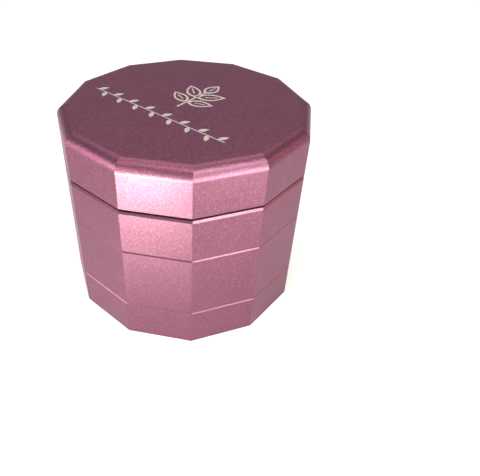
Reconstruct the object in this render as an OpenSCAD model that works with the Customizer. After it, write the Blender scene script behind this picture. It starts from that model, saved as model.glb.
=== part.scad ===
// Hand-held herb grinder in four stacked aluminium sections: a catch tray, a
// collection chamber with a woven screen, a toothed grinding chamber and a
// toothed lid. The sections have no threads: each plugs into the next with a
// round collar, and small disc magnets hold them together.
// Origin at the centre of the tray's underside, +Z up through the lid.

/* [Overall size] */
// Width of the twelve-sided body across opposite corners
corner_width = 63; // [61:0.5:66]
// Height of the catch tray's outer wall
tray_height = 10.4; // [9:0.2:14]
// Height of the collection chamber's outer wall
collection_height = 17; // [15:0.5:26]
// Height of the grinding chamber's outer wall
grinding_height = 11.2; // [10:0.2:16]
// Height of the lid, from its lower edge to its flat top
lid_height = 11.8; // [11:0.2:14]
// Gap that the glide ring keeps open under the lid
lid_gap = 0.7; // [0.3:0.1:0.8]

/* [Edges] */
// Radius rolled along the lid's upper edges
lid_roll = 2.9; // [2:0.1:3.2]
// Bevel on the grinding chamber's upper edges
grinding_bevel = 0.45; // [0.3:0.05:0.8]
// Bevel on the other sections' upper edges
upper_bevel = 0.3; // [0.2:0.05:0.5]
// Bevel on every section's lower edges
lower_bevel = 0.2; // [0.1:0.05:0.4]
// How far the sharp vertical corners are cut back
corner_ease = 0.04; // [0.02:0.01:0.1]

/* [Collars and sockets] */
// Wall thickness of the round collars
collar_wall = 2.2; // [1.8:0.1:2.4]
// Height of the tray's collar above its shoulder
tray_collar = 3.6; // [2.5:0.1:5]
// Height of the grinding chamber's upper collar above its shoulder
grinding_collar = 7.4; // [6.6:0.1:7.6]
// Length of the short collar under the grinding chamber
lower_collar = 3.2; // [2:0.1:4]
// Radial clearance between a collar and its socket
socket_fit = 0.2; // [0.1:0.05:0.3]
// Thickness of the tray's floor
tray_floor = 2.2; // [1.5:0.1:3]
// Thickness of the grinding chamber's floor
grinding_floor = 2.8; // [2.4:0.1:3.4]
// Thickness of the lid's top
lid_top_wall = 3.8; // [3.6:0.1:4]

/* [Teeth] */
// Length of a tooth along the cutting direction
tooth_length = 5.8; // [4.6:0.1:6]
// Thickness of a tooth across the cutting direction
tooth_width = 3; // [2.4:0.1:3]
// Radial distance from a ring of chamber teeth to the next ring of lid teeth
ring_pitch = 3.4; // [3.3:0.05:3.45]
// Radius of each large drop hole, one under each bay
outer_hole_radius = 2.8; // [2.2:0.1:2.8]
// Radius of each small drop hole
inner_hole_radius = 2.1; // [1.5:0.1:2.1]

/* [Screen] */
// Thickness of the woven screen
screen_thickness = 0.3; // [0.2:0.05:0.4]
// Height of the ring that clamps the screen
screen_ring_height = 1.1; // [0.8:0.1:1.6]

/* [Magnets] */
// Diameter of the magnets in the shoulders
edge_magnet_width = 3.2; // [2.5:0.1:3.2]
// Thickness of the magnets in the shoulders
edge_magnet_height = 1.6; // [1.2:0.1:2]
// Diameter of the two magnets on the centre line
centre_magnet_width = 4.4; // [3.5:0.1:4.4]
// Thickness of the two magnets on the centre line
centre_magnet_height = 2.4; // [1.8:0.1:2.6]

/* [Hidden] */
MAGNET_SIDES = ["left", "right"];
MAGNET_LEVELS = ["tray", "collection_lower", "collection_upper", "grinding_lower"];
EDGE_MAGNETS = [for (level = MAGNET_LEVELS) for (side = MAGNET_SIDES) str(level, "_magnet_", side)];

$fn = 96;

SIDES = 12;
SIDE_ANGLE = 360 / SIDES;
CUT = 1;

// Colours of the anodised shells and of the small bright parts
SHELL_COLOUR = [0.69, 0.45, 0.53];
STEEL_COLOUR = [0.62, 0.62, 0.60];
MAGNET_COLOUR = [0.80, 0.82, 0.80];
GLIDE_COLOUR = [0.85, 0.80, 0.80];

// Outer shape: corner radius before the corners are eased, and flat distance
corner_radius = corner_width / 2 + corner_ease;
flat_distance = corner_radius * cos(SIDE_ANGLE / 2);

// Heights of the joints between the sections
tray_top = tray_height;
collection_top = tray_top + collection_height;
grinding_top = collection_top + grinding_height;
lid_bottom = grinding_top + lid_gap;
lid_top = lid_bottom + lid_height;

// Round collars, all of one radius, and what they leave inside
collar_radius = corner_width / 2 - 4.5;
socket_radius = collar_radius + socket_fit;
bore_radius = collar_radius - collar_wall;
tray_collar_top = tray_top + tray_collar;
grinding_collar_top = grinding_top + grinding_collar;
lower_collar_bottom = collection_top - lower_collar;
grinding_floor_top = collection_top + grinding_floor;
lid_ceiling = lid_top - lid_top_wall;
socket_end_gap = 0.3;
rim_bevel = 0.4;
floor_fillet = 2.4;

// Screen seat near the bottom of the collection chamber
screen_radius = bore_radius + 1.4;
screen_opening = bore_radius - 0.2;
lower_socket_top = tray_collar_top + socket_end_gap;
screen_bottom = lower_socket_top + screen_ring_height;
screen_top = screen_bottom + screen_thickness;
upper_socket_bottom = lower_collar_bottom - socket_end_gap;

// Ring in a groove round the foot of the upper collar, which the lid turns on
glide_inner_radius = collar_radius + 0.1;
glide_outer_radius = collar_radius + 1.3;
glide_groove_radius = glide_outer_radius + 0.3;
glide_groove_depth = 0.9;
glide_bevel = 0.12;
glide_bottom = grinding_top - glide_groove_depth;

// Wall bays: shallow round cuts whose neighbours meet in a ridge
BAYS = 8;
ridge_depth = 2;
ridge_radius = bore_radius - ridge_depth;
bay_step = 360 / BAYS;
bay_offset = (bore_radius * bore_radius - ridge_radius * ridge_radius)
    / (2 * (bore_radius - ridge_radius * cos(bay_step / 2)));
bay_radius = bore_radius - bay_offset;

// Tooth rings, counted inwards from the lid's outermost ring
tooth_gap = 0.4;
outer_ring_radius = ridge_radius - tooth_gap - tooth_width / 2;
function ring_radius(ring) = outer_ring_radius - ring * ring_pitch;
LID_RINGS = [0, 2, 4];
LID_TEETH = [10, 8, 4];
CHAMBER_RINGS = [1, 3];
CHAMBER_TEETH = [8, 6];
tooth_tip = 0.35;
chamber_tooth_top = grinding_collar_top - 0.6;
lid_tooth_bottom = grinding_floor_top + 0.8;

// Long six-sided post in the middle of the grinding chamber
post_half_length = ring_radius(4) - tooth_width / 2 - 0.6;
post_half_width = centre_magnet_width / 2 + 0.7;
post_top = chamber_tooth_top - 0.2;
boss_radius = centre_magnet_width / 2 + 1.2;
boss_bottom = post_top + 0.5;

// Magnets sit in pockets with a thin glue gap, a little below flush
glue_gap = 0.05;
magnet_recess = 0.1;
magnet_bevel = 0.15;
edge_magnet_radius = edge_magnet_width / 2;
edge_magnet_place = (socket_radius + flat_distance) / 2 + 0.35;
edge_pocket_depth = edge_magnet_height + magnet_recess;
centre_magnet_radius = centre_magnet_width / 2;
centre_pocket_depth = centre_magnet_height + magnet_recess;

inner_hole_place = (ring_radius(1) + ring_radius(3)) / 2 + 0.3;

// Outline of one slab, standing on the X axis: bevelled or rolled upper corners
module slab_outline(height, upper, lower, rolled) {
    union() {
        polygon([
            [-flat_distance + lower, 0],
            [flat_distance - lower, 0],
            [flat_distance, lower],
            [flat_distance, height - upper],
            [flat_distance - upper, height],
            [-flat_distance + upper, height],
            [-flat_distance, height - upper],
            [-flat_distance, lower]
        ]);
        if (rolled)
            for (side = [-1, 1])
                translate([side * (flat_distance - upper), height - upper])
                    circle(r = upper);
    }
}

// Twelve-sided block from z = 0 up, made where six crossed slabs overlap
module twelve_sided(height, upper, lower, rolled = false) {
    intersection() {
        intersection_for (turn = [0 : SIDES / 2 - 1])
            rotate([0, 0, (turn + 0.5) * SIDE_ANGLE])
                rotate([90, 0, 0])
                    linear_extrude(height = 3 * corner_radius, center = true)
                        slab_outline(height, upper, lower, rolled);
        rotate([0, 0, SIDE_ANGLE / 2])
            translate([0, 0, -CUT])
                cylinder(r = (corner_width / 2) / cos(SIDE_ANGLE / 2), h = height + 2 * CUT, $fn = SIDES);
    }
}

// Round tool that cuts a straight bore with a bevel at its upper mouth
module bore_open_above(radius, bottom, top, bevel) {
    rotate_extrude()
        polygon([
            [0, bottom],
            [radius, bottom],
            [radius, top - bevel],
            [radius + bevel + CUT, top + CUT],
            [0, top + CUT]
        ]);
}

// Round tool that cuts a straight bore with a bevel at its lower mouth
module bore_open_below(radius, bottom, top, bevel) {
    rotate_extrude()
        polygon([
            [0, bottom - CUT],
            [radius + bevel + CUT, bottom - CUT],
            [radius, bottom + bevel],
            [radius, top],
            [0, top]
        ]);
}

// Solid collar with a bevel round its upper end
module collar_bevelled_above(bottom, top) {
    rotate_extrude()
        polygon([
            [0, bottom],
            [collar_radius, bottom],
            [collar_radius, top - rim_bevel],
            [collar_radius - rim_bevel, top],
            [0, top]
        ]);
}

// Solid collar with a bevel round its lower end
module collar_bevelled_below(bottom, top) {
    rotate_extrude()
        polygon([
            [0, bottom],
            [collar_radius - rim_bevel, bottom],
            [collar_radius, bottom + rim_bevel],
            [collar_radius, top],
            [0, top]
        ]);
}

// Diamond-shaped tooth, long across the radius, with its narrow tips cut blunt
module tooth(bottom, top) {
    half_length = tooth_length / 2;
    half_width = tooth_width / 2;
    translate([0, 0, bottom])
        linear_extrude(height = top - bottom)
            polygon([
                [-half_width, 0],
                [-tooth_tip / 2, -half_length],
                [tooth_tip / 2, -half_length],
                [half_width, 0],
                [tooth_tip / 2, half_length],
                [-tooth_tip / 2, half_length]
            ]);
}

// Even ring of teeth, the first one half a step from the +X direction
module tooth_ring(radius, count, bottom, top) {
    for (place = [0 : count - 1])
        rotate([0, 0, (place + 0.5) * 360 / count])
            translate([radius, 0, 0])
                tooth(bottom, top);
}

// Two pockets for edge magnets, from floor level up
module edge_pockets(bottom) {
    for (side = [-1, 1])
        translate([side * edge_magnet_place, 0, bottom])
            cylinder(r = edge_magnet_radius + glue_gap, h = edge_pocket_depth + CUT);
}

// Disc magnet with a small bevel round each end, standing on z = 0
module disc_magnet(radius, height) {
    rotate_extrude()
        polygon([
            [0, 0],
            [radius - magnet_bevel, 0],
            [radius, magnet_bevel],
            [radius, height - magnet_bevel],
            [radius - magnet_bevel, height],
            [0, height]
        ]);
}

// One edge magnet, on the left or the right
module edge_magnet(side, bottom) {
    color(MAGNET_COLOUR)
        translate([side * edge_magnet_place, 0, bottom])
            disc_magnet(edge_magnet_radius, edge_magnet_height);
}

// Catch tray: shallow dish with a raised round collar
module tray() {
    color(SHELL_COLOUR)
        difference() {
            union() {
                twelve_sided(tray_height, upper_bevel, lower_bevel);
                collar_bevelled_above(tray_height / 2, tray_collar_top);
            }
            bore_open_above(bore_radius, tray_floor + floor_fillet, tray_collar_top, rim_bevel);
            dish_floor();
            edge_pockets(tray_top - edge_pocket_depth);
        }
}

// Lower end of the tray's bore, where a round fillet meets the flat floor
module dish_floor() {
    translate([0, 0, tray_floor])
        rotate_extrude()
            union() {
                square([bore_radius - floor_fillet, floor_fillet + CUT / 2]);
                intersection() {
                    translate([bore_radius - floor_fillet, floor_fillet])
                        circle(r = floor_fillet);
                    translate([bore_radius - 2 * floor_fillet, 0])
                        square([2 * floor_fillet, floor_fillet]);
                }
                translate([0, floor_fillet])
                    square([bore_radius, CUT / 2]);
            }
}

// Collection chamber: open ring with a socket at each end and a screen seat
module collection_chamber() {
    color(SHELL_COLOUR)
        difference() {
            translate([0, 0, tray_top])
                twelve_sided(collection_height, upper_bevel, lower_bevel);
            bore_open_below(socket_radius, tray_top, lower_socket_top, rim_bevel);
            translate([0, 0, lower_socket_top - CUT])
                cylinder(r = screen_radius, h = screen_top - lower_socket_top + CUT);
            bore_open_above(screen_opening, screen_top - CUT, upper_socket_bottom, rim_bevel);
            bore_open_above(socket_radius, upper_socket_bottom, collection_top, rim_bevel);
            translate([0, 0, -CUT])
                edge_pockets(tray_top);
            edge_pockets(collection_top - edge_pocket_depth);
        }
}

// Disc that stands for the woven screen
module screen() {
    color(STEEL_COLOUR)
        translate([0, 0, screen_bottom])
            cylinder(r = screen_radius - glue_gap, h = screen_thickness);
}

// Flat ring pressed in under the screen
module screen_ring() {
    color(STEEL_COLOUR)
        translate([0, 0, lower_socket_top])
            difference() {
                cylinder(r = screen_radius, h = screen_ring_height);
                translate([0, 0, -CUT])
                    cylinder(r = screen_opening, h = screen_ring_height + 2 * CUT);
            }
}

// Space inside the grinding chamber's wall, with a bay over each large drop hole
module grinding_cavity() {
    height = grinding_collar_top - grinding_floor_top + CUT;
    translate([0, 0, grinding_floor_top]) {
        cylinder(r = bay_offset + bay_radius / 2, h = height);
        for (bay = [0 : BAYS - 1])
            rotate([0, 0, bay * bay_step])
                translate([bay_offset, 0, 0])
                    cylinder(r = bay_radius, h = height);
    }
}

// Holes that the ground herb falls through
module drop_holes() {
    for (bay = [0 : BAYS - 1])
        rotate([0, 0, bay * bay_step])
            translate([0, 0, collection_top - CUT]) {
                translate([ring_radius(0), 0, 0])
                    cylinder(r = outer_hole_radius, h = grinding_floor + 2 * CUT);
                translate([inner_hole_place, 0, 0])
                    cylinder(r = inner_hole_radius, h = grinding_floor + 2 * CUT);
            }
}

// Post that carries the lower centre magnet
module centre_post() {
    translate([0, 0, grinding_floor_top - CUT])
        linear_extrude(height = post_top - grinding_floor_top + CUT)
            polygon([
                [-post_half_length, 0],
                [-post_half_length / 2, -post_half_width],
                [post_half_length / 2, -post_half_width],
                [post_half_length, 0],
                [post_half_length / 2, post_half_width],
                [-post_half_length / 2, post_half_width]
            ]);
}

// Grinding chamber: toothed bowl with a tall upper collar and a short lower one
module grinding_chamber() {
    color(SHELL_COLOUR)
        difference() {
            union() {
                difference() {
                    union() {
                        translate([0, 0, collection_top])
                            twelve_sided(grinding_height, grinding_bevel, lower_bevel);
                        collar_bevelled_above(grinding_floor_top, grinding_collar_top);
                        collar_bevelled_below(lower_collar_bottom, grinding_floor_top);
                    }
                    grinding_cavity();
                    bore_open_below(bore_radius, lower_collar_bottom, collection_top, rim_bevel);
                    drop_holes();
                    glide_groove();
                }
                for (ring = [0 : len(CHAMBER_RINGS) - 1])
                    tooth_ring(
                        ring_radius(CHAMBER_RINGS[ring]),
                        CHAMBER_TEETH[ring],
                        grinding_floor_top - CUT,
                        chamber_tooth_top
                    );
                centre_post();
            }
            translate([0, 0, post_top - centre_pocket_depth])
                cylinder(r = centre_magnet_radius + glue_gap, h = centre_pocket_depth + CUT);
            translate([0, 0, -CUT])
                edge_pockets(collection_top);
        }
}

// Groove round the foot of the upper collar
module glide_groove() {
    translate([0, 0, glide_bottom])
        difference() {
            cylinder(r = glide_groove_radius, h = glide_groove_depth + CUT);
            translate([0, 0, -CUT])
                cylinder(r = collar_radius, h = glide_groove_depth + 3 * CUT);
        }
}

// Magnet in the top of the centre post
module grinding_centre_magnet() {
    color(MAGNET_COLOUR)
        translate([0, 0, post_top - centre_pocket_depth])
            disc_magnet(centre_magnet_radius, centre_magnet_height);
}

// Slippery ring that carries the lid's edge
module glide_ring() {
    color(GLIDE_COLOUR)
        rotate_extrude()
            polygon([
                [glide_inner_radius + glide_bevel, glide_bottom],
                [glide_outer_radius - glide_bevel, glide_bottom],
                [glide_outer_radius, glide_bottom + glide_bevel],
                [glide_outer_radius, lid_bottom - glide_bevel],
                [glide_outer_radius - glide_bevel, lid_bottom],
                [glide_inner_radius + glide_bevel, lid_bottom],
                [glide_inner_radius, lid_bottom - glide_bevel],
                [glide_inner_radius, glide_bottom + glide_bevel]
            ]);
}

// Lid: deep cap with rolled upper edges and three rings of hanging teeth
module lid() {
    color(SHELL_COLOUR)
        difference() {
            union() {
                difference() {
                    translate([0, 0, lid_bottom])
                        twelve_sided(lid_height, lid_roll, lower_bevel, rolled = true);
                    bore_open_below(socket_radius, lid_bottom, lid_ceiling, rim_bevel);
                }
                for (ring = [0 : len(LID_RINGS) - 1])
                    tooth_ring(
                        ring_radius(LID_RINGS[ring]),
                        LID_TEETH[ring],
                        lid_tooth_bottom,
                        lid_ceiling + CUT
                    );
                translate([0, 0, boss_bottom])
                    cylinder(r = boss_radius, h = lid_ceiling - boss_bottom + CUT);
            }
            translate([0, 0, boss_bottom - CUT])
                cylinder(r = centre_magnet_radius + glue_gap, h = centre_pocket_depth + CUT);
        }
}

// Magnet in the middle of the lid
module lid_centre_magnet() {
    color(MAGNET_COLOUR)
        translate([0, 0, boss_bottom + magnet_recess])
            disc_magnet(centre_magnet_radius, centre_magnet_height);
}

tray();
collection_chamber();
screen();
screen_ring();
grinding_chamber();
grinding_centre_magnet();
glide_ring();
lid();
lid_centre_magnet();

// Undersides of the eight edge magnets, level by level
magnet_bottoms = [
    tray_top - edge_pocket_depth,
    tray_top + magnet_recess,
    collection_top - edge_pocket_depth,
    collection_top + magnet_recess
];
for (level = [0 : len(MAGNET_LEVELS) - 1])
    for (side = [0, 1])
        edge_magnet(2 * side - 1, magnet_bottoms[level]);
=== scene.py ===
"""Looks of the herb grinder: anodised shells, woven screen, magnets and an etched ornament.

Lengths are in metres and light powers in watts.
"""

import math

import bmesh
import bpy
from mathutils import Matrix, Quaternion, Vector


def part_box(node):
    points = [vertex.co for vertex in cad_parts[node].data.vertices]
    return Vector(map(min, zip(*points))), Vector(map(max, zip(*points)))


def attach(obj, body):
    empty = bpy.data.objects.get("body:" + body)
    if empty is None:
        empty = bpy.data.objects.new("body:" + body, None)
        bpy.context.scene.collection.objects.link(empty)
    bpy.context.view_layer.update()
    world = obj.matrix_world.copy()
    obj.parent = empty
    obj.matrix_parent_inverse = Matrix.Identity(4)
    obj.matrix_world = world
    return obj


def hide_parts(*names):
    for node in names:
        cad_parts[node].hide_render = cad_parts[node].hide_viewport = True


MM = 0.001

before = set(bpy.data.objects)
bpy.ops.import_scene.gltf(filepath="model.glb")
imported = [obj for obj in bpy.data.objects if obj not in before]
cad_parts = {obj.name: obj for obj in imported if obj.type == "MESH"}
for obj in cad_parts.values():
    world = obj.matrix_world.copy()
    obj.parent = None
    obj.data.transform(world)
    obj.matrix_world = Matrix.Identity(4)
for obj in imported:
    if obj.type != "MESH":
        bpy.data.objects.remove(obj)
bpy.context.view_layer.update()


# ---------------------------------------------------------------- places taken from the frame

SCREEN_LOW, SCREEN_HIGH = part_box("screen")
LID_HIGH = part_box("lid")[1]
LID_TOP = LID_HIGH.z
# the lid's lower edge stands on the glide ring
LID_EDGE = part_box("glide_ring")[1].z

CORNER_RADIUS = LID_HIGH.x
COLLAR_INSET = 4.5 * MM
SOCKET_FIT = 0.2 * MM
SOCKET_RADIUS = CORNER_RADIUS - COLLAR_INSET + SOCKET_FIT


# ---------------------------------------------------------------- camera

LENS_MM = 37.18
SENSOR_MM = 36.0
SHIFT_RIGHT = 0.104
SHIFT_UP = -0.079
VIEW_TURN = math.radians(-93.57)
VIEW_HEIGHT = math.radians(36.05)
VIEW_ROLL = math.radians(0.64)
VIEW_DISTANCE = 138.7 * MM
AIM = Vector((1.34, -0.08, 21.51)) * MM
CLIP_NEAR = 0.005
CLIP_FAR = 50.0


def direction(turn, height):
    """Unit vector that points at an angle round the object and an angle above the floor."""
    level = math.cos(height)
    return Vector((math.cos(turn) * level, math.sin(turn) * level, math.sin(height)))


def make_camera():
    data = bpy.data.cameras.new("camera")
    data.lens = LENS_MM
    data.sensor_width = SENSOR_MM
    data.shift_x = SHIFT_RIGHT
    data.shift_y = SHIFT_UP
    data.clip_start = CLIP_NEAR
    data.clip_end = CLIP_FAR
    camera = bpy.data.objects.new("camera", data)
    bpy.context.scene.collection.objects.link(camera)
    back = direction(VIEW_TURN, VIEW_HEIGHT)
    camera.location = AIM + back * VIEW_DISTANCE
    camera.rotation_mode = "QUATERNION"
    roll = Quaternion((0.0, 0.0, 1.0), VIEW_ROLL)
    camera.rotation_quaternion = (-back).to_track_quat("-Z", "Y") @ roll
    bpy.context.scene.camera = camera


# ---------------------------------------------------------------- node helpers

# a noise's values mostly lie between these
NOISE_LOW = 0.3
NOISE_HIGH = 0.7


def new_material(name):
    material = bpy.data.materials.new(name)
    material.use_nodes = True
    tree = material.node_tree
    tree.nodes.clear()
    output = tree.nodes.new("ShaderNodeOutputMaterial")
    shader = tree.nodes.new("ShaderNodeBsdfPrincipled")
    tree.links.new(shader.outputs["BSDF"], output.inputs["Surface"])
    return material, tree, shader


def feed(tree, socket, value):
    """Sets a socket to a plain value, or links an output to it."""
    if isinstance(value, bpy.types.NodeSocket):
        tree.links.new(value, socket)
    else:
        socket.default_value = value


def split(tree, vector):
    """X, Y and Z of a vector."""
    step = tree.nodes.new("ShaderNodeSeparateXYZ")
    feed(tree, step.inputs["Vector"], vector)
    return step.outputs["X"], step.outputs["Y"], step.outputs["Z"]


def maths(tree, operation, *values):
    step = tree.nodes.new("ShaderNodeMath")
    step.operation = operation
    for socket, value in zip(step.inputs, values):
        feed(tree, socket, value)
    return step.outputs["Value"]


def mixed(tree, first, first_share, second, second_share):
    """Sum of two numbers, each times its share."""
    first = maths(tree, "MULTIPLY", first, first_share)
    second = maths(tree, "MULTIPLY", second, second_share)
    return maths(tree, "ADD", first, second)


def waves(tree, along, pitch, swing):
    """Sine waves of a pitch in metres, which swing round one half."""
    turns = maths(tree, "MULTIPLY", along, 2 * math.pi / pitch)
    return maths(tree, "MULTIPLY_ADD", maths(tree, "SINE", turns), swing, 0.5)


def ramp(tree, value, low, high, out_low=0.0, out_high=1.0):
    """Smooth step from out_low to out_high as value goes from low to high."""
    step = tree.nodes.new("ShaderNodeMapRange")
    step.interpolation_type = "SMOOTHSTEP"
    feed(tree, step.inputs["Value"], value)
    step.inputs["From Min"].default_value = low
    step.inputs["From Max"].default_value = high
    step.inputs["To Min"].default_value = out_low
    step.inputs["To Max"].default_value = out_high
    return step.outputs["Result"]


def blend(tree, kind, share, first, second):
    step = tree.nodes.new("ShaderNodeMix")
    step.data_type = kind
    feed(tree, step.inputs["Factor"], share)
    feed(tree, step.inputs["A"], first)
    feed(tree, step.inputs["B"], second)
    return step.outputs["Result"]


def blend_colour(tree, share, first, second):
    return blend(tree, "RGBA", share, first, second)


def blend_number(tree, share, first, second):
    return blend(tree, "FLOAT", share, first, second)


def noise(tree, place, size, detail, roughness):
    """Noise whose lumps are about size metres across."""
    step = tree.nodes.new("ShaderNodeTexNoise")
    feed(tree, step.inputs["Vector"], place)
    step.inputs["Scale"].default_value = 1.0 / size
    step.inputs["Detail"].default_value = detail
    step.inputs["Roughness"].default_value = roughness
    return step.outputs["Fac"]


def bump(tree, height, depth, strength=1.0):
    step = tree.nodes.new("ShaderNodeBump")
    step.inputs["Distance"].default_value = depth
    feed(tree, step.inputs["Height"], height)
    feed(tree, step.inputs["Strength"], strength)
    return step.outputs["Normal"]


# ---------------------------------------------------------------- anodised shells

ROSE = (0.207, 0.066, 0.111, 1.0)
ROSE_DEEP = (0.195, 0.061, 0.103, 1.0)
# colour of the painted glints and of the painted highlight on the bevels
ROSE_PAINTED_HIGHLIGHT = (0.34, 0.17, 0.22, 1.0)
ROSE_EDGE = (0.85, 0.74, 0.80, 1.0)
CLOUD_SIZE = 9.0 * MM

# blasted grain: lumps of two sizes, whose higher parts are painted paler as glints
COARSE_GRAIN = 0.42 * MM
COARSE_SHARE = 0.6
FINE_GRAIN = 0.20 * MM
FINE_SHARE = 0.4
GRAIN_DEPTH = 0.065 * MM
GLINT_LOW = 0.46
GLINT_HIGH = 0.66
GLINT_SHARE = 0.45

# the blasted roughness goes from the first to the second as the grain goes from low to high
BLASTED_ROUGHNESS = (0.34, 0.42)
BLASTED_LOW = 0.35
BLASTED_HIGH = 0.65

TURNED_PITCH = 0.22 * MM
TURNED_SWING = 0.12
TURNED_ROUGHNESS = 0.32
TURNED_STRENGTH = 0.15

# upward part of the normal on a bevel of 45 degrees, and how far off it may be
BEVEL_TILT = 0.707
BEVEL_TOLERANCE = 0.12
# how much painted highlight makes the cut bevels paler
BEVEL_PAINTED_HIGHLIGHT_SHARE = 0.25
BEVEL_ROUGHNESS = 0.33
BEVEL_STRENGTH = 0.08

COAT_WEIGHT = 0.08
COAT_ROUGHNESS = 0.2
COAT_IOR = 1.5

# outside the sockets the finish goes from turned to blasted between these clearances
FINISH_START = 0.05 * MM
FINISH_END = 0.15 * MM
# at a limit of height it goes from one to the other within this much
FINISH_FADE = 0.1 * MM


def blasted_part(tree, radius, height, blasted_above, blasted_below):
    """1 where the metal is blasted and 0 where it is turned."""
    outside = ramp(tree, radius, SOCKET_RADIUS + FINISH_START, SOCKET_RADIUS + FINISH_END)
    above = ramp(tree, height, blasted_above, blasted_above + FINISH_FADE)
    below = ramp(tree, height, blasted_below - FINISH_FADE, blasted_below, 1.0, 0.0)
    return maths(tree, "MAXIMUM", outside, maths(tree, "MAXIMUM", above, below))


def bevel_part(tree, facing_up, height, bevels_below):
    """1 on the cut bevels below a height and 0 elsewhere."""
    tilt = maths(tree, "ABSOLUTE", facing_up)
    tilted = maths(tree, "COMPARE", tilt, BEVEL_TILT, BEVEL_TOLERANCE)
    low_enough = maths(tree, "LESS_THAN", height, bevels_below)
    return maths(tree, "MULTIPLY", tilted, low_enough)


def anodised_shell(name, blasted_above, blasted_below, bevels_below):
    """Rose anodised aluminium: blasted outside, turned inside, smoother on cut bevels, with
    painted glints on the grain and a painted highlight on the cut bevels.

    Inside the collar sockets the metal is turned, except above one height and below another.
    """
    material, tree, shader = new_material(name)
    coords = tree.nodes.new("ShaderNodeTexCoord")
    place = coords.outputs["Object"]
    across, along, height = split(tree, place)
    facing_up = split(tree, coords.outputs["Normal"])[2]
    across_squared = maths(tree, "MULTIPLY", across, across)
    along_squared = maths(tree, "MULTIPLY", along, along)
    radius = maths(tree, "SQRT", maths(tree, "ADD", across_squared, along_squared))
    blasted = blasted_part(tree, radius, height, blasted_above, blasted_below)
    bevel = bevel_part(tree, facing_up, height, bevels_below)

    coarse = noise(tree, place, COARSE_GRAIN, detail=2.0, roughness=0.6)
    fine = noise(tree, place, FINE_GRAIN, detail=2.0, roughness=0.6)
    grain = mixed(tree, coarse, COARSE_SHARE, fine, FINE_SHARE)
    rings = waves(tree, maths(tree, "ADD", radius, height), TURNED_PITCH, TURNED_SWING)
    relief = blend_number(tree, blasted, rings, grain)

    clouds = noise(tree, place, CLOUD_SIZE, detail=3.0, roughness=0.55)
    tint = blend_colour(tree, ramp(tree, clouds, NOISE_LOW, NOISE_HIGH), ROSE_DEEP, ROSE)
    # painted glints: the grain's high parts on the blasted metal are made paler
    painted_glint = ramp(tree, grain, GLINT_LOW, GLINT_HIGH, 0.0, GLINT_SHARE)
    tint = blend_colour(tree, maths(tree, "MULTIPLY", painted_glint, blasted), tint, ROSE_PAINTED_HIGHLIGHT)
    # painted highlight: the cut bevels are made paler
    tint = blend_colour(tree, maths(tree, "MULTIPLY", bevel, BEVEL_PAINTED_HIGHLIGHT_SHARE), tint, ROSE_PAINTED_HIGHLIGHT)
    tree.links.new(tint, shader.inputs["Base Color"])

    rough = ramp(tree, grain, BLASTED_LOW, BLASTED_HIGH, *BLASTED_ROUGHNESS)
    rough = blend_number(tree, blasted, TURNED_ROUGHNESS, rough)
    rough = blend_number(tree, bevel, rough, BEVEL_ROUGHNESS)
    tree.links.new(rough, shader.inputs["Roughness"])

    strength = blend_number(tree, blasted, TURNED_STRENGTH, 1.0)
    strength = blend_number(tree, bevel, strength, BEVEL_STRENGTH)
    normal = bump(tree, relief, GRAIN_DEPTH, strength)
    tree.links.new(normal, shader.inputs["Normal"])
    tree.links.new(normal, shader.inputs["Coat Normal"])

    shader.inputs["Metallic"].default_value = 1.0
    shader.inputs["Specular Tint"].default_value = ROSE_EDGE
    shader.inputs["Coat Weight"].default_value = COAT_WEIGHT
    shader.inputs["Coat Roughness"].default_value = COAT_ROUGHNESS
    shader.inputs["Coat IOR"].default_value = COAT_IOR
    return material


# ---------------------------------------------------------------- materials of the small parts

NICKEL = (0.80, 0.82, 0.79, 1.0)
TURNED_STEEL = (0.60, 0.60, 0.58, 1.0)
WIRE_STEEL = (0.55, 0.55, 0.53, 1.0)
STEEL_DARK_SHARE = 0.75
# lowest and highest roughness over the mean
STEEL_SPREAD = (0.85, 1.15)
STEEL_DEPTH = 0.004 * MM

POLYMER_DARK = (0.60, 0.50, 0.50, 1.0)
POLYMER_PALE = (0.68, 0.60, 0.59, 1.0)
POLYMER_ROUGHNESS = (0.40, 0.52)
POLYMER_GRAIN = 0.5 * MM
POLYMER_DEPTH = 0.01 * MM
SCATTER_WEIGHT = 0.2
SCATTER_DEPTH = 0.5 * MM

ETCH_DARK = (0.34, 0.28, 0.27, 1.0)
ETCH_PALE = (0.44, 0.38, 0.36, 1.0)
ETCH_ROUGHNESS = (0.5, 0.65)
ETCH_GRAIN = 0.3 * MM
ETCH_DEPTH = 0.01 * MM
ETCH_GRAIN_SHARE = 0.6
SCAN_PITCH = 0.12 * MM
SCAN_SWING = 0.25
SCAN_SHARE = 0.4


def grained(tree, shader, grain, dark, pale, roughness):
    """Colour and roughness that follow a grain."""
    tint = blend_colour(tree, ramp(tree, grain, NOISE_LOW, NOISE_HIGH), dark, pale)
    tree.links.new(tint, shader.inputs["Base Color"])
    rough = ramp(tree, grain, NOISE_LOW, NOISE_HIGH, *roughness)
    tree.links.new(rough, shader.inputs["Roughness"])


def steel(name, colour, roughness, grain_size):
    """Bare or plated metal."""
    material, tree, shader = new_material(name)
    coords = tree.nodes.new("ShaderNodeTexCoord")
    grain = noise(tree, coords.outputs["Object"], grain_size, detail=3.0, roughness=0.6)
    dark = tuple(STEEL_DARK_SHARE * part for part in colour[:3]) + (1.0,)
    grained(tree, shader, grain, dark, colour, [roughness * share for share in STEEL_SPREAD])
    tree.links.new(bump(tree, grain, STEEL_DEPTH), shader.inputs["Normal"])
    shader.inputs["Metallic"].default_value = 1.0
    return material


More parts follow.
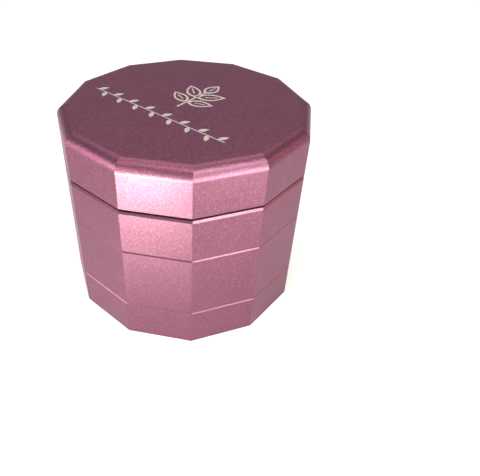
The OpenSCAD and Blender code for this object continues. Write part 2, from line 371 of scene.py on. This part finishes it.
def natural_polymer(name):
    """Undyed low-friction plastic."""
    material, tree, shader = new_material(name)
    coords = tree.nodes.new("ShaderNodeTexCoord")
    grain = noise(tree, coords.outputs["Object"], POLYMER_GRAIN, detail=3.0, roughness=0.5)
    grained(tree, shader, grain, POLYMER_DARK, POLYMER_PALE, POLYMER_ROUGHNESS)
    tree.links.new(bump(tree, grain, POLYMER_DEPTH), shader.inputs["Normal"])
    shader.inputs["Subsurface Weight"].default_value = SCATTER_WEIGHT
    shader.inputs["Subsurface Scale"].default_value = SCATTER_DEPTH
    return material


def etched_mark(name):
    """Pale matt metal where a laser has taken the anodised colour off, in fine scan lines."""
    material, tree, shader = new_material(name)
    coords = tree.nodes.new("ShaderNodeTexCoord")
    place = coords.outputs["Object"]
    scan = waves(tree, split(tree, place)[1], SCAN_PITCH, SCAN_SWING)
    grain = noise(tree, place, ETCH_GRAIN, detail=3.0, roughness=0.6)
    grained(tree, shader, grain, ETCH_DARK, ETCH_PALE, ETCH_ROUGHNESS)
    relief = mixed(tree, scan, SCAN_SHARE, grain, ETCH_GRAIN_SHARE)
    tree.links.new(bump(tree, relief, ETCH_DEPTH), shader.inputs["Normal"])
    return material


# ---------------------------------------------------------------- materials on the CAD nodes

# heights beyond the object's top and base
NOTHING_ABOVE = LID_TOP + 1.0
NOTHING_BELOW = -1.0
# the tray's underside is blasted too, though it is nearer the axis than the sockets are
UNDERSIDE = 0.1 * MM
# between the foot of the lid's rolled edge and the ceiling inside it
LID_BLASTED = LID_TOP - 3.3 * MM
# above the lid's lower bevel and below its rolled edge
LID_BEVEL = LID_EDGE + 1.0 * MM

SHELLS = {
    "tray": ("anodised_tray", NOTHING_ABOVE, UNDERSIDE, NOTHING_ABOVE),
    "collection_chamber": ("anodised_collection", NOTHING_ABOVE, NOTHING_BELOW, NOTHING_ABOVE),
    "grinding_chamber": ("anodised_grinding", NOTHING_ABOVE, NOTHING_BELOW, NOTHING_ABOVE),
    "lid": ("anodised_lid", LID_BLASTED, NOTHING_BELOW, LID_BEVEL),
}


def paint_frame():
    """Gives every CAD node its procedural material."""
    shells = {name: anodised_shell(*values) for name, values in SHELLS.items()}
    nickel = steel("nickel_plate", NICKEL, roughness=0.22, grain_size=0.6 * MM)
    clamp = steel("turned_steel", TURNED_STEEL, roughness=0.30, grain_size=0.4 * MM)
    polymer = natural_polymer("natural_polymer")
    for name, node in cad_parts.items():
        if name in shells:
            material = shells[name]
        elif "magnet" in name:
            material = nickel
        elif name == "glide_ring":
            material = polymer
        else:
            material = clamp
        node.data.materials.clear()
        node.data.materials.append(material)


def finish_piece(mesh, name, smooth=False):
    """Turns a built mesh into an object in the scene."""
    data = bpy.data.meshes.new(name)
    bmesh.ops.recalc_face_normals(mesh, faces=mesh.faces)
    mesh.to_mesh(data)
    mesh.free()
    if smooth:
        data.polygons.foreach_set("use_smooth", [True] * len(data.polygons))
    piece = bpy.data.objects.new(name, data)
    bpy.context.scene.collection.objects.link(piece)
    return piece


# ---------------------------------------------------------------- etched ornament

# how far the plates reach below and above the lid's top
ETCH_BELOW = 0.02 * MM
ETCH_ABOVE = 0.02 * MM
MARK_TURN = math.radians(-45.0)

LEAF_STEPS = 9
# below 1, these put a leaf's widest place nearer its foot and make its sides fuller
LEAF_SKEW = 0.85
LEAF_FULLNESS = 0.9

# width of the leaf's outline at its sides, and how far the inner outline is in at its ends
LEAF_LINE = 0.52 * MM
LEAF_END = 1.6 * LEAF_LINE
RIB_LINE = 0.6 * LEAF_LINE
# where the midrib starts and ends, as shares of the leaf's length
RIB_START = 0.30
RIB_END = 0.72

SPRIG_BASE = -0.5 * MM
SPRIG_FOOT = 2.6 * MM
SPRIG_HEIGHT = 7.8 * MM
# where each leaf leaves the stem, its angle in degrees, its length and its half width
SPRIG_LEAVES = (
    (7.6 * MM, 0.0, 6.0 * MM, 1.8 * MM),
    (4.4 * MM, 52.0, 7.4 * MM, 1.9 * MM),
    (4.4 * MM, -52.0, 7.4 * MM, 1.9 * MM),
    (0.8 * MM, 68.0, 6.8 * MM, 1.7 * MM),
    (0.8 * MM, -68.0, 6.8 * MM, 1.7 * MM),
)
VINE_LEVEL = -9.2 * MM
VINE_LEFT = -22.5 * MM
VINE_RIGHT = 19.5 * MM
VINE_LINE = 0.26 * MM
VINE_LEAVES = 15
# where each leaf grows, as a share of its step along the vine
VINE_LEAF_PLACE = 0.3
# length and half width
VINE_LEAF = (2.6 * MM, 0.62 * MM)
# in degrees
VINE_LEAF_ANGLE = 58.0


def leaf_outline(length, half_width):
    """Pointed oval from the origin along +Y, anticlockwise."""
    right, left = [], []
    for step in range(LEAF_STEPS + 1):
        share = step / LEAF_STEPS
        width = 0.0
        if 0 < step < LEAF_STEPS:
            width = half_width * math.sin(math.pi * share ** LEAF_SKEW) ** LEAF_FULLNESS
        right.append(Vector((width, share * length)))
        left.append(Vector((-width, share * length)))
    return right + left[-2:0:-1]


def moved(points, turn, shift):
    """Flat points turned about the origin and then shifted."""
    cosine, sine = math.cos(turn), math.sin(turn)
    return [Vector((p.x * cosine - p.y * sine, p.x * sine + p.y * cosine)) + shift for p in points]


def on_lid(point, height):
    """Puts a point of the flat drawing on the lid's top, turned as the drawing is."""
    turned = moved([point], MARK_TURN, Vector((0.0, 0.0)))[0]
    return Vector((turned.x, turned.y, LID_TOP + height))


def add_plate(mesh, loop):
    """Thin solid plate with one closed outline."""
    upper = [mesh.verts.new(on_lid(point, ETCH_ABOVE)) for point in loop]
    lower = [mesh.verts.new(on_lid(point, -ETCH_BELOW)) for point in loop]
    mesh.faces.new(upper)
    mesh.faces.new(lower[::-1])
    for here in range(len(loop)):
        after = (here + 1) % len(loop)
        mesh.faces.new((lower[here], lower[after], upper[after], upper[here]))


def add_band(mesh, outer, inner):
    """Thin solid band between two outlines with as many points each."""
    rings = []
    for loop in (outer, inner):
        for height in (ETCH_ABOVE, -ETCH_BELOW):
            rings.append([mesh.verts.new(on_lid(point, height)) for point in loop])
    outer_up, outer_down, inner_up, inner_down = rings
    for here in range(len(outer)):
        after = (here + 1) % len(outer)
        mesh.faces.new((outer_up[here], outer_up[after], inner_up[after], inner_up[here]))
        mesh.faces.new((inner_down[here], inner_down[after], outer_down[after], outer_down[here]))
        mesh.faces.new((outer_down[here], outer_down[after], outer_up[after], outer_up[here]))
        mesh.faces.new((inner_up[here], inner_up[after], inner_down[after], inner_down[here]))


def add_stroke(mesh, start, end, width):
    """Thin solid plate along a straight line."""
    side = (end - start).normalized()
    side = Vector((-side.y, side.x)) * width / 2
    add_plate(mesh, [start - side, end - side, end + side, start + side])


def sprig_mark():
    """Sprig of five outlined leaves on a stem, each leaf with a midrib."""
    mesh = bmesh.new()
    for start, angle, length, half_width in SPRIG_LEAVES:
        turn = math.radians(angle)
        foot = Vector((0.0, SPRIG_BASE + start))
        outer = moved(leaf_outline(length, half_width), turn, foot)
        inner = leaf_outline(length - 2 * LEAF_END, half_width - LEAF_LINE)
        inner = moved([point + Vector((0.0, LEAF_END)) for point in inner], turn, foot)
        add_band(mesh, outer, inner)
        rib = [Vector((0.0, share * length)) for share in (RIB_START, RIB_END)]
        add_stroke(mesh, *moved(rib, turn, foot), RIB_LINE)
    stem_foot = Vector((0.0, SPRIG_BASE - SPRIG_FOOT))
    stem_top = Vector((0.0, SPRIG_BASE + SPRIG_HEIGHT))
    add_stroke(mesh, stem_foot, stem_top, LEAF_LINE)
    return finish_piece(mesh, "etched_sprig")


def vine_mark():
    """Straight vine with small leaves on both sides by turns."""
    mesh = bmesh.new()
    add_stroke(mesh, Vector((VINE_LEFT, VINE_LEVEL)), Vector((VINE_RIGHT, VINE_LEVEL)), VINE_LINE)
    step = (VINE_RIGHT - VINE_LEFT) / VINE_LEAVES
    for place in range(VINE_LEAVES):
        side = -1.0 if place % 2 else 1.0
        turn = math.radians(-90.0 + side * VINE_LEAF_ANGLE)
        along = VINE_LEFT + (place + VINE_LEAF_PLACE) * step
        foot = Vector((along, VINE_LEVEL + side * VINE_LINE / 2))
        add_plate(mesh, moved(leaf_outline(*VINE_LEAF), turn, foot))
    return finish_piece(mesh, "etched_vine")


# ---------------------------------------------------------------- woven screen

WIRE_PITCH = 0.6 * MM
WIRE_RADIUS = 0.075 * MM
WIRE_SIDES = 5
# under the wire's radius, so that crossing wires press into each other a little
WIRE_RISE = WIRE_RADIUS * 0.95
CLOTH_TRIM = 0.05 * MM


def add_wire(mesh, points):
    """Tube of WIRE_SIDES sides through the points, closed at both ends."""
    rings = []
    for place, point in enumerate(points):
        ahead = points[min(place + 1, len(points) - 1)]
        behind = points[max(place - 1, 0)]
        forward = (ahead - behind).normalized()
        side = forward.cross(Vector((0.0, 0.0, 1.0))).normalized()
        up = side.cross(forward)
        ring = []
        for corner in range(WIRE_SIDES):
            angle = 2 * math.pi * corner / WIRE_SIDES
            offset = side * math.cos(angle) + up * math.sin(angle)
            ring.append(mesh.verts.new(point + offset * WIRE_RADIUS))
        rings.append(ring)
    for first, second in zip(rings, rings[1:]):
        for corner in range(WIRE_SIDES):
            after = (corner + 1) % WIRE_SIDES
            mesh.faces.new((first[corner], first[after], second[after], second[corner]))
    mesh.faces.new(rings[0][::-1])
    mesh.faces.new(rings[-1])


def woven_screen():
    """Plain-weave wire cloth cut to the screen's disc."""
    radius = SCREEN_HIGH.x - CLOTH_TRIM
    middle = (SCREEN_LOW.z + SCREEN_HIGH.z) / 2
    count = int(radius / WIRE_PITCH)
    mesh = bmesh.new()
    for line in range(-count, count + 1):
        offset = line * WIRE_PITCH
        reach = math.sqrt(radius * radius - offset * offset)
        steps = int(2 * reach / WIRE_PITCH)
        if steps < 2:
            continue
        warp, weft = [], []
        for half_step in range(-steps, steps + 1):
            along = half_step * WIRE_PITCH / 2
            wave = math.cos(math.pi * (along / WIRE_PITCH + line)) * WIRE_RISE
            warp.append(Vector((offset, along, middle + wave)))
            weft.append(Vector((along, offset, middle - wave)))
        add_wire(mesh, warp)
        add_wire(mesh, weft)
    return finish_piece(mesh, "woven_screen", smooth=True)


# ---------------------------------------------------------------- stage

FLOOR_SIZE = 6.0
FLOOR_DROP = 0.02 * MM
FLOOR_GREY = (0.90, 0.90, 0.90, 1.0)
FLOOR_ROUGHNESS = 0.9
WORLD_GREY = (0.52, 0.52, 0.52, 1.0)

WHITE = (1.0, 1.0, 1.0)
WARM_WHITE = (1.0, 0.93, 0.85)
COOL_WHITE = (0.72, 1.0, 0.78)
PALE_COOL = (0.80, 1.0, 0.86)
ORANGE = (1.0, 0.55, 0.35)
MIDDLE = Vector((0.0, 0.0, 0.025))
LID_FACE = Vector((-0.008, -0.030, 0.043))

# name, angle round the object and angle above the floor in degrees, distance, size, power,
# the point that the light faces, and colour
LIGHTS = (
    ("ceiling_behind", 90.0, 62.0, 2.0, (2.0, 1.0), 12.0, MIDDLE, WHITE),
    ("ceiling_front", -118.0, 72.0, 1.0, (0.6, 0.36), 2.6, MIDDLE, WARM_WHITE),
    ("side_left", 208.0, 13.0, 0.8, (0.6, 0.36), 7.0, MIDDLE, WHITE),
    ("strip_right", -54.0, 12.0, 0.5, (0.07, 0.25), 0.9, MIDDLE, PALE_COOL),
    ("strip_upper_right", -51.0, 50.0, 0.5, (0.06, 0.25), 1.15, MIDDLE, PALE_COOL),
    ("near_left", -122.0, -18.0, 0.078, (0.030, 0.026), 0.115, LID_FACE, COOL_WHITE),
    ("near_right", -57.0, -6.0, 0.22, (0.10, 0.05), 0.50, MIDDLE, PALE_COOL),
    ("warm_right", -5.0, 20.0, 0.4, (0.15, 0.15), 0.12, MIDDLE, ORANGE),
)


def make_floor():
    mesh = bmesh.new()
    bmesh.ops.create_grid(mesh, x_segments=1, y_segments=1, size=FLOOR_SIZE / 2)
    floor = finish_piece(mesh, "floor")
    floor.location.z = -FLOOR_DROP
    material, _, shader = new_material("pale_floor")
    shader.inputs["Base Color"].default_value = FLOOR_GREY
    shader.inputs["Roughness"].default_value = FLOOR_ROUGHNESS
    floor.data.materials.append(material)


def make_light(name, turn, height, distance, size, power, target, colour):
    """Rectangular soft light that the camera doesn't see."""
    data = bpy.data.lights.new(name, "AREA")
    data.shape = "RECTANGLE"
    data.size, data.size_y = size
    data.energy = power
    data.color = colour
    light = bpy.data.objects.new(name, data)
    bpy.context.scene.collection.objects.link(light)
    back = direction(math.radians(turn), math.radians(height))
    light.location = target + back * distance
    light.rotation_mode = "QUATERNION"
    light.rotation_quaternion = (-back).to_track_quat("-Z", "Y")
    light.visible_camera = False


def make_world():
    world = bpy.data.worlds.new("studio")
    bpy.context.scene.world = world
    world.use_nodes = True
    background = world.node_tree.nodes["Background"]
    background.inputs["Color"].default_value = WORLD_GREY
    background.inputs["Strength"].default_value = 1.0


def make_stage():
    make_world()
    make_floor()
    for light in LIGHTS:
        make_light(*light)
    bpy.context.scene.view_settings.view_transform = "Standard"


# ---------------------------------------------------------------- build

make_camera()
paint_frame()

screen = woven_screen()
wire = steel("stainless_wire", WIRE_STEEL, roughness=0.30, grain_size=0.3 * MM)
screen.data.materials.append(wire)
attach(screen, "collection_body")
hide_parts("screen")

etching = etched_mark("laser_etched")
for mark in (sprig_mark(), vine_mark()):
    mark.data.materials.append(etching)
    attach(mark, "lid_body")

make_stage()
